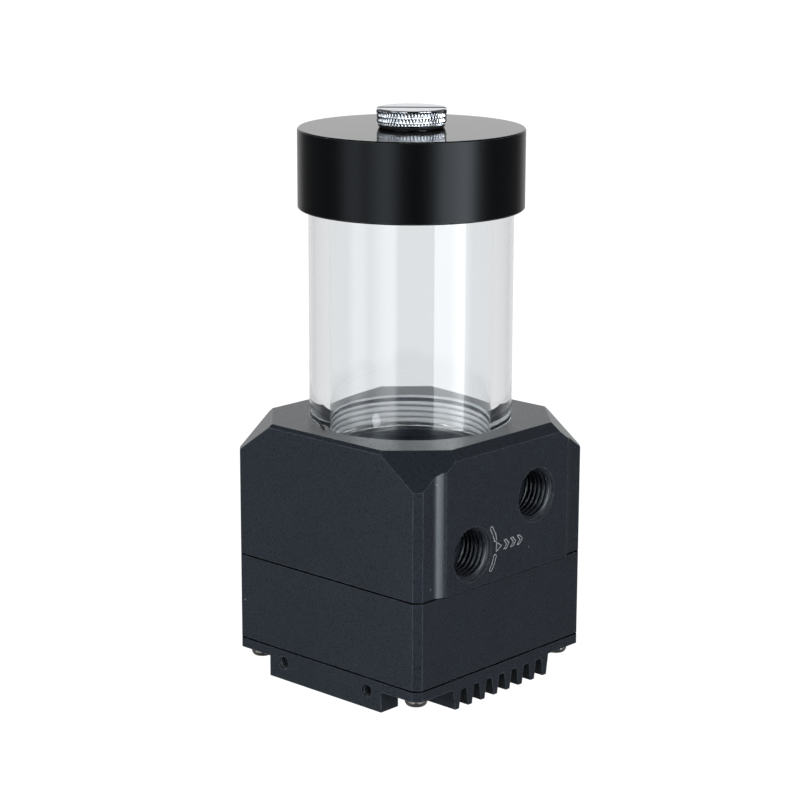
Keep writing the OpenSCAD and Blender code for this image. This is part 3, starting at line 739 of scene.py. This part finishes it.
# %% [markdown]
# ## The threads that hold the tube
#
# The block and the cap hold the tube with the same thread the other way round. Each is a
# ring set into the plain wall of its socket. Its inside follows the tube's wave at a small
# gap, so the two interlock, and both ends fade out into the wall.


# %% The threads that hold the tube
THREAD_GAP = 0.04 * MM
THREAD_FADE = 0.6 * MM
THINNEST = 0.004 * MM


def make_socket_thread(name, start, end, body, slot, wall):
    """Ring whose inside is the tube's thread with a small gap, and whose outside lies just
    within the socket's wall."""
    angle = around(192)
    heights = steps(start, end, TUBE_PITCH / 10)
    fade = ramp(heights, start, start + THREAD_FADE) * ramp(heights, end, end - THREAD_FADE)
    crest = TUBE_THREAD_DEPTH * thread_depth(angle, heights, TUBE_PITCH) * fade
    inside = np.minimum(wall - crest.clip(THINNEST), tube_out + THREAD_GAP - crest)
    outside = np.full_like(inside[:2], wall)
    radius = np.vstack([outside, inside[::-1]])
    height = np.vstack([np.full_like(outside[0], start)[None, :],
                        np.full_like(outside[0], end)[None, :],
                        heights[::-1] * np.ones_like(angle)])
    ring = smooth(turned(name, radius, height), 60)
    return dress(ring, body, slot)


socket_wall = tube_out + 0.045 * MM
block_thread = make_socket_thread("block_thread", tube_foot + 0.2 * MM,
                                  block_high.z - 0.5 * MM, "pump_body", "black_body", socket_wall)
cap_thread = make_socket_thread("cap_thread", cap_foot + 0.6 * MM,
                                tube_head - 0.4 * MM, "cap", "black_cap", socket_wall)
print("socket threads:", len(block_thread.data.polygons), len(cap_thread.data.polygons))


# %% [markdown]
# ## Port threads
#
# The two ports take the common quarter inch pipe thread, 1.337 mm to the turn. In the dim
# bore only the crests catch the light, so the thread is a ring of its own set into the
# plain bore of the block. The small tapped holes of the bars get the same treatment.


# %% Tapped holes
def make_tapped(name, mouth, facing, radius, depth, pitch, cut, mouth_free, columns=96):
    """Thread ring in a round hole. It starts mouth_free below the mouth and ends at depth.
    The hole opens at the angle facing, in degrees round the upright axis from +X. The ring
    is made along +X, turned to that angle and moved to its mouth."""
    angle = around(columns)
    heights = steps(0, depth - mouth_free, pitch / 10)
    fade = ramp(heights, depth - mouth_free, depth - mouth_free - pitch)
    crest = thread_depth(angle, heights, pitch)
    inside = radius - (cut * crest * fade).clip(0.003 * MM)
    outside = np.full_like(inside[:2], radius)
    skin = np.vstack([outside, inside[::-1]])
    along = np.vstack([0 * angle, 0 * angle + depth - mouth_free, heights[::-1] + 0 * angle])
    ring = smooth(turned(name, skin, along, along=(0, 0, 0)), 60)
    turn = Matrix.Rotation(math.radians(facing), 4, "Z")
    floor = Vector(mouth) - turn @ Vector((depth, 0, 0))
    ring.data.transform(Matrix.Translation(floor) @ turn)
    return ring


for name in ("outlet_port", "return_port"):
    mount = mounts[name]
    radius = mount["dims"]["r_mm"] * MM - 0.005 * MM
    mouth = (pad_face, mount["pos_m"][1], mount["pos_m"][2])
    depth = pad_face - mount["pos_m"][0] + mount["dims"]["length_mm"] * MM / 2
    ring = make_tapped(name + "_thread", mouth, 0, radius, depth - 0.3 * MM, PORT_PITCH,
                       0.85 * MM, 0.45 * MM)
    dress(ring, "pump_body", "black_body")
    print(name, "thread", round(depth / MM, 2), "mm deep")

# %% Small tapped holes of the bars
M4_PITCH = 0.7 * MM
BAR_HOLE_DEPTH = 5 * MM
for name, facing in (("front_bar_holes", -90), ("rear_bar_holes", 90)):
    mount = mounts[name]
    half = mount["dims"]["spacing_x_mm"] * MM / 2
    for side in (-1, 1):
        mouth = (side * half, mount["pos_m"][1], mount["pos_m"][2])
        label = name + ("_left" if side < 0 else "_right") + "_thread"
        ring = make_tapped(label, mouth, facing, mount["dims"]["hole_r_mm"] * MM - 0.004 * MM,
                           BAR_HOLE_DEPTH - 0.1 * MM, M4_PITCH, 0.2 * MM, 0.3 * MM, 48)
        dress(ring, "pump_body", "black_body")
        print("made", label)

# %% [markdown]
# ## The knurled plug
#
# A knurling wheel presses two families of slanted grooves that cross. Between them stand
# small pyramids. The depth at a point is the deeper of the two grooves there, and the band
# fades out into a smooth shoulder. The stem below carries the port thread.

# %% Knurl and side of the plug
KNURLS_ROUND = 62
KNURL_ROW = 2.34 * MM
KNURL_DEPTH = 0.36 * MM
SEAL_GAP = 0.8 * MM
STEM_RADIUS = 6.53 * MM


def knurl_depth(angle, height):
    """1 in a groove and 0 on a point. Two triangle waves climb opposite ways round the head,
    and the deeper one counts."""
    round_part = KNURLS_ROUND * angle / TURN
    climb = height / KNURL_ROW
    first = np.abs(2 * ((round_part + climb) % 1) - 1)
    second = np.abs(2 * ((round_part - climb) % 1) - 1)
    return np.maximum(first, second)


def plug_side(angle):
    """Rows of radius and height from the foot of the stem up: its thread, the seat under the
    head and the knurled band. Each pattern is scaled by a ramp that fades it at its ends."""
    full = np.ones_like(angle)
    seat = cap_head + SEAL_GAP
    stem = steps(plug_foot + 0.6 * MM, seat - 0.4 * MM, PORT_PITCH / 8)
    stem_fade = ramp(stem, seat - 0.6 * MM, seat - 2 * MM)
    stem_radius = STEM_RADIUS - 0.8 * MM * stem_fade * thread_depth(angle, stem, PORT_PITCH)
    band_low, band_high = seat + 0.25 * MM, plug_head - 0.4 * MM
    band = steps(band_low, band_high, KNURL_ROW / 16)
    band_fade = ramp(band, band_low - 0.05 * MM, band_low + 0.15 * MM)
    band_fade = band_fade * ramp(band, band_high + 0.05 * MM, band_high - 0.2 * MM)
    band_radius = plug_out - KNURL_DEPTH * knurl_depth(angle, band) * band_fade
    radius = np.vstack([(STEM_RADIUS - 1.0 * MM) * full, stem_radius, STEM_RADIUS * full,
                        (plug_out - 0.25 * MM) * full, band_radius])
    height = np.vstack([plug_foot * full, stem * full, seat * full, seat * full, band * full])
    return radius, height


print("rows and columns of the side:", plug_side(around(8))[0].shape)

# %% [markdown]
# ## The plug's slot
#
# A wide slot for a coin runs straight across the top. Cutting it out with a Boolean would
# leave long thin faces on a mirror finish. So the columns of the grid are bent until four of
# them run along the slot's walls, and the columns between the walls drop to its floor.

# %% Slot of the plug
SLOT_WIDTH = 2 * MM
SLOT_DEPTH = 1.2 * MM
SLOT_TURN = math.radians(42.5)
SHOULDER = 0.38 * MM


def slotted_angles(columns, half):
    """Angles of the columns, counted from the middle of the slot, and whether each lies in
    the slot. Every wall has two columns at one angle: one on the land and one in the slot."""
    walls = np.array([half, TURN / 2 - half, TURN / 2 + half, TURN - half])
    even = np.linspace(0, TURN, columns, endpoint=False)[1:]
    even = even[np.abs(even[:, None] - walls).min(1) > 0.2 * TURN / columns]
    angle = np.concatenate([even, walls, walls])
    in_slot = np.concatenate([np.abs(np.sin(even)) < math.sin(half), [False] * 4, [True] * 4])
    toward_slot = 1e-9 * np.array([-1, 1, -1, 1])
    order = np.argsort(np.concatenate([even, walls, walls + toward_slot]))
    return angle[order][None, :], in_slot[order][None, :]


def squeeze(angle, half_from, half_to):
    """Moves angles measured from the slot so that its walls go from half_from to half_to."""
    side = angle % (TURN / 2)
    known = [0, half_from, TURN / 2 - half_from, TURN / 2]
    wanted = [0, half_to, TURN / 2 - half_to, TURN / 2]
    return angle - side + np.interp(side, known, wanted)


def plug_top(base, half):
    """Rows of radius, height and angle of the round shoulder and the flat top. A ring meets
    a wall of the slot at the arcsine of half the slot's width over the ring's radius."""
    bend = np.radians([8, 25, 45, 65, 82, 90])[:, None]
    meets = np.linspace(math.asin(SLOT_WIDTH / 2 / (plug_out - SHOULDER)), 1.4, 14)[1:, None]
    radius = np.vstack([plug_out - SHOULDER * (1 - np.cos(bend)), SLOT_WIDTH / 2 / np.sin(meets)])
    height = np.vstack([plug_head - SHOULDER * (1 - np.sin(bend)), plug_head + 0 * meets])
    angle = np.vstack([squeeze(base, half, math.asin(SLOT_WIDTH / 2 / r)) for r in radius.ravel()])
    return radius, height, angle + SLOT_TURN


print("columns round the head:", slotted_angles(KNURLS_ROUND * 8, 0.1)[0].size)


# %% Plug
def make_plug():
    """Head and stem of the plug as one skin, from the foot of the stem to the slot's floor."""
    half = math.asin(SLOT_WIDTH / 2 / plug_out)
    base, in_slot = slotted_angles(KNURLS_ROUND * 8, half)
    angle = base + SLOT_TURN
    full = np.ones_like(angle)
    side_radius, side_height = plug_side(angle)
    top_radius, top_height, top_angle = plug_top(base, half)
    floor = plug_head - SLOT_DEPTH
    height = np.vstack([side_height, top_height * full])
    height = np.where(in_slot, np.minimum(height, floor), height)
    height = np.vstack([height, floor * full])
    radius = np.vstack([side_radius, top_radius * full, top_radius[-1] * full])
    angles = np.vstack([angle + 0 * side_radius, top_angle, top_angle[-1:]])
    plug = smooth(turned("knurled_plug", radius, height, ring=False, angle=angles), 35)
    dress(plug, "plug", "plug_plating")
    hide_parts("fill_plug")
    return plug


plug = make_plug()
print("plug:", len(plug.data.polygons), "faces")

# %% [markdown]
# ## The engraved flow mark
#
# A fine cutter has drawn a mark beside the outlet: two arcs round the port, an arrow head
# and three chevrons that show which way the coolant leaves. Each outline is a path in the
# plane of the pad, and a thin ribbon of bare metal follows it.

# %% A ribbon along a path
LINE = 0.2 * MM
outlet = np.array(mounts["outlet_port"]["pos_m"])[1:]


def ribbon(name, path):
    """Flat closed ribbon on the pad along a closed path of (y, z) points. Each point gets
    four corners: left and right of the path, just below and just above the face."""
    ahead = np.roll(path, -1, 0) - np.roll(path, 1, 0)
    ahead /= np.linalg.norm(ahead, axis=1)[:, None]
    left = np.stack([-ahead[:, 1], ahead[:, 0]], -1) * LINE / 2
    low, high = pad_face - 0.02 * MM, pad_face + 0.012 * MM
    corners = [(path - left, low), (path + left, low), (path + left, high), (path - left, high)]
    points = np.stack([np.column_stack([np.full(len(path), x), flat]) for flat, x in corners], 1)
    quads = grid_quads(len(path), 4, True)
    return mesh_from(name, points.reshape(-1, 3), quads)


print("outlet at y", round(outlet[0] / MM, 2), "z", round(outlet[1] / MM, 2), "mm")


# %% Outlines of arcs and chevrons
def arc(centre, radius, start, end, count=24):
    """Points on a circle between two angles in degrees."""
    a = np.radians(np.linspace(start, end, count))
    return centre + radius * np.stack([np.cos(a), np.sin(a)], -1)


def arc_band(centre, radius, half, start, end):
    """Closed outline of a band that follows an arc and has round ends."""
    outer = arc(centre, radius + half, start, end)
    inner = arc(centre, radius - half, end, start)
    last = arc(centre, radius, end, end, 1)[0]
    first = arc(centre, radius, start, start, 1)[0]
    return np.vstack([outer, arc(last, half, end, end + 180, 10)[1:-1], inner,
                      arc(first, half, start + 180, start + 360, 10)[1:-1]])


def along_edges(corners, step=0.25 * MM):
    """A closed outline with points every step along its straight edges."""
    corners = np.array(corners)
    out = []
    for a, b in zip(corners, np.roll(corners, -1, 0)):
        count = max(2, int(np.linalg.norm(b - a) / step))
        out.append(a + (b - a) * np.linspace(0, 1, count, endpoint=False)[:, None])
    return np.vstack(out)


def chevron(tip, height, back, thick):
    """Outline of an arrow head that points along +Y, with its tip at the given point."""
    y, z = tip
    return along_edges([(y, z), (y - back, z + height / 2), (y - back - thick, z + height / 2),
                        (y - thick, z), (y - back - thick, z - height / 2),
                        (y - back, z - height / 2)])


print("points on a short arc:", len(arc(outlet, 1 * MM, 0, 90)))

# %% The flow mark
mark_radius, mark_half = 8.5 * MM, 0.45 * MM
outlines = {
    "flow_arc_upper": arc_band(outlet, mark_radius, mark_half, 13, 36),
    "flow_arc_lower": arc_band(outlet, mark_radius, mark_half, -38, -15),
    "flow_arrow_head": along_edges(outlet + np.array([(10.6, 0), (8.7, 1.15), (8.7, -1.15)]) * MM),
}
for i in range(3):
    tip = outlet + np.array([13.4 + 2.5 * i, 0]) * MM
    outlines["flow_chevron_%d" % (i + 1)] = chevron(tip, 2.3 * MM, 1.1 * MM, 0.9 * MM)
for name, path in outlines.items():
    dress(ribbon(name, path), "pump_body", "screw_steel", bare_aluminium)
print("flow mark:", len(outlines), "outlines")

# %% [markdown]
# ## Floor, light and camera
#
# A pale floor runs out of sight in every direction. The object stands on it in the middle
# of a white room. The floor is seen directly and through the tube, but not as a mirror image
# in the black faces, which would turn them grey.

# %% Floor
FLOOR_SIZE = 6.0
THROUGH_TUBE = 0.72


def make_floor():
    """A level square under the object. Seen directly or through the tube it glows softly,
    so that it meets the background without a line."""
    corners = np.array([(-1, -1, 0), (1, -1, 0), (1, 1, 0), (-1, 1, 0)]) * FLOOR_SIZE
    floor = mesh_from("floor", corners, np.array([[0, 1, 2, 3]]))
    material, tree, shader = new_material("pale_floor", (0.25, 0.25, 0.26), 0.9)
    path = add(tree, "ShaderNodeLightPath")
    through = math_node(tree, "MULTIPLY", path.outputs["Is Transmission Ray"], THROUGH_TUBE)
    glow = math_node(tree, "MAXIMUM", path.outputs["Is Camera Ray"], through)
    shader.inputs["Emission Color"].default_value = (1, 1, 1, 1)
    tree.links.new(glow, shader.inputs["Emission Strength"])
    floor.data.materials.append(material)
    floor.visible_glossy = False
    return floor


floor = make_floor()
print("floor", floor.name, "is", 2 * FLOOR_SIZE, "m wide")

# %% [markdown]
# ## The room
#
# Black metal shows its form only by what it mirrors. So the room isn't evenly white: it is
# dark on the camera's side, dim at the sides, bright behind the object and darker overhead.
# An image of a real studio would do the same, but four ramps are easier to adjust.

# %% World
CAMERA_SIDE = -47.5


def make_world(dark=0.03, side=0.13, bright=0.85):
    """White where it is seen directly or through the tube. In reflections and as light it
    is dark on the camera's side, dim at the sides, bright behind and darker overhead."""
    world = bpy.data.worlds.new("studio")
    bpy.context.scene.world = world
    world.use_nodes = True
    tree = world.node_tree
    tree.nodes.clear()
    place = add(tree, "ShaderNodeTexCoord")
    side_angle = math.radians(CAMERA_SIDE)
    away = Vector((-math.cos(side_angle), -math.sin(side_angle), 0.0))
    facing = add(tree, "ShaderNodeVectorMath", operation="DOT_PRODUCT",
                 inputs={0: place.outputs["Generated"], 1: away}).outputs["Value"]
    sides = spread(tree, facing, -0.5, 0.1, dark, side)
    behind = spread(tree, facing, 0.72, 0.94, 0.0, bright - side)
    apart = add(tree, "ShaderNodeSeparateXYZ", inputs={0: place.outputs["Generated"]})
    overhead = spread(tree, apart.outputs["Z"], 0.45, 0.85, 1.0, 0.35)
    level = math_node(tree, "MULTIPLY", math_node(tree, "ADD", sides, behind), overhead)
    path = add(tree, "ShaderNodeLightPath")
    through = add(tree, "ShaderNodeMix", data_type="FLOAT",
                  inputs={0: path.outputs["Is Transmission Ray"], 2: level, 3: THROUGH_TUBE})
    strength = add(tree, "ShaderNodeMix", data_type="FLOAT",
                   inputs={0: path.outputs["Is Camera Ray"], 2: through.outputs[0], 3: 1.02})
    light = add(tree, "ShaderNodeBackground", inputs={0: (1, 1, 1, 1), 1: strength.outputs[0]})
    output = add(tree, "ShaderNodeOutputWorld", inputs={0: light.outputs[0]})
    return output


make_world()
print("world:", bpy.context.scene.world.name)

# %% [markdown]
# ## Soft boxes
#
# Tall soft boxes stand left and right of the camera. Each draws one upright highlight on the
# cap and one sheen on a face of the block. Their ends fade, as the edge of a real diffuser
# does. One more box only lights the left face, and one over the back lifts the top edges.

# %% Soft boxes
AIM = Vector((0, 0, 0.07))
DAYLIGHT = (0.95, 0.98, 1.0)


def soft_box(name, turn, distance, width, height, brightness, fade=(0.02, 0.02), rise=0,
             mirrored=True):
    """Area light that faces the object. turn is counted from the camera's side, in degrees,
    and rise is its height above level. A brightness of 1 is as bright as white paper. fade
    gives the share of the width over which each end grows dim. A box that isn't mirrored
    lights the surfaces but doesn't show in them."""
    a, e = math.radians(CAMERA_SIDE + turn), math.radians(rise)
    offset = Vector((math.cos(a) * math.cos(e), math.sin(a) * math.cos(e), math.sin(e)))
    data = bpy.data.lights.new(name, "AREA")
    data.shape = "RECTANGLE"
    data.size, data.size_y = width, height
    data.energy = math.pi * width * height * brightness
    data.color = DAYLIGHT
    data.use_nodes = True
    tree = data.node_tree
    place = add(tree, "ShaderNodeNewGeometry")
    along = add(tree, "ShaderNodeSeparateXYZ", inputs={0: place.outputs["Parametric"]})
    first = spread(tree, along.outputs["X"], 0.0, fade[0])
    last = spread(tree, along.outputs["X"], 1.0, 1.0 - fade[1])
    level = math_node(tree, "MULTIPLY", first, last)
    tree.links.new(level, tree.nodes["Emission"].inputs["Strength"])
    light = bpy.data.objects.new(name, data)
    light.location = AIM + offset * distance
    light.rotation_euler = offset.to_track_quat("Z", "Y").to_euler()
    light.visible_camera = False
    light.visible_glossy = mirrored
    bpy.context.scene.collection.objects.link(light)
    return light


soft_box("left_box", -31, 1.4, 0.95, 1.5, 3.4, fade=(0.7, 0.2))
soft_box("left_fill", -60, 1.4, 0.8, 1.5, 2.0, fade=(0.4, 0.4))
soft_box("right_box", 44, 1.4, 0.94, 1.1, 5.0)
soft_box("right_glow", 58, 1.4, 0.75, 1.1, 3.5, fade=(0.5, 0.5))
soft_box("left_wash", -60, 1.2, 0.8, 0.8, 5.5, mirrored=False)
soft_box("back_box", 180, 1.6, 1.2, 0.8, 0.5, rise=55)
print("lights:", len(bpy.data.lights))

# %% [markdown]
# ## Camera
#
# A long lens from a little above keeps the upright edges nearly parallel, as in a catalogue.
# The camera's place and its three angles are typed in, and its matrix follows from them.

# %% Camera
CAMERA_LENS, CAMERA_SENSOR = 108.43, 36
CAMERA_PLACE = Vector((391.325, -427.226, 209.77)) * MM
CAMERA_HEADING, CAMERA_PITCH, CAMERA_ROLL = 132.745, -13.694, 0.169


def make_camera():
    """Camera from its place, the compass heading of its view, its pitch and its roll."""
    heading, pitch = math.radians(CAMERA_HEADING), math.radians(CAMERA_PITCH)
    look = Vector((math.cos(heading) * math.cos(pitch), math.sin(heading) * math.cos(pitch),
                   math.sin(pitch)))
    right = look.cross(Vector((0, 0, 1))).normalized()
    up = right.cross(look)
    turn = Matrix((right, up, -look)).transposed().to_4x4()
    data = bpy.data.cameras.new("camera")
    data.lens, data.sensor_width = CAMERA_LENS, CAMERA_SENSOR
    camera = bpy.data.objects.new("camera", data)
    roll = Matrix.Rotation(math.radians(CAMERA_ROLL), 4, "Z")
    camera.matrix_world = Matrix.Translation(CAMERA_PLACE) @ turn @ roll
    bpy.context.scene.collection.objects.link(camera)
    bpy.context.scene.camera = camera
    return camera


camera = make_camera()
bpy.context.scene.view_settings.view_transform = "Standard"
print("camera at", tuple(round(v, 3) for v in camera.location))

# %% [markdown]
# ## Update the scene
#
# The new pieces must not make the pump any bigger than its solids. The last call brings the
# scene up to date.

# %% Update the scene
bpy.context.view_layer.update()
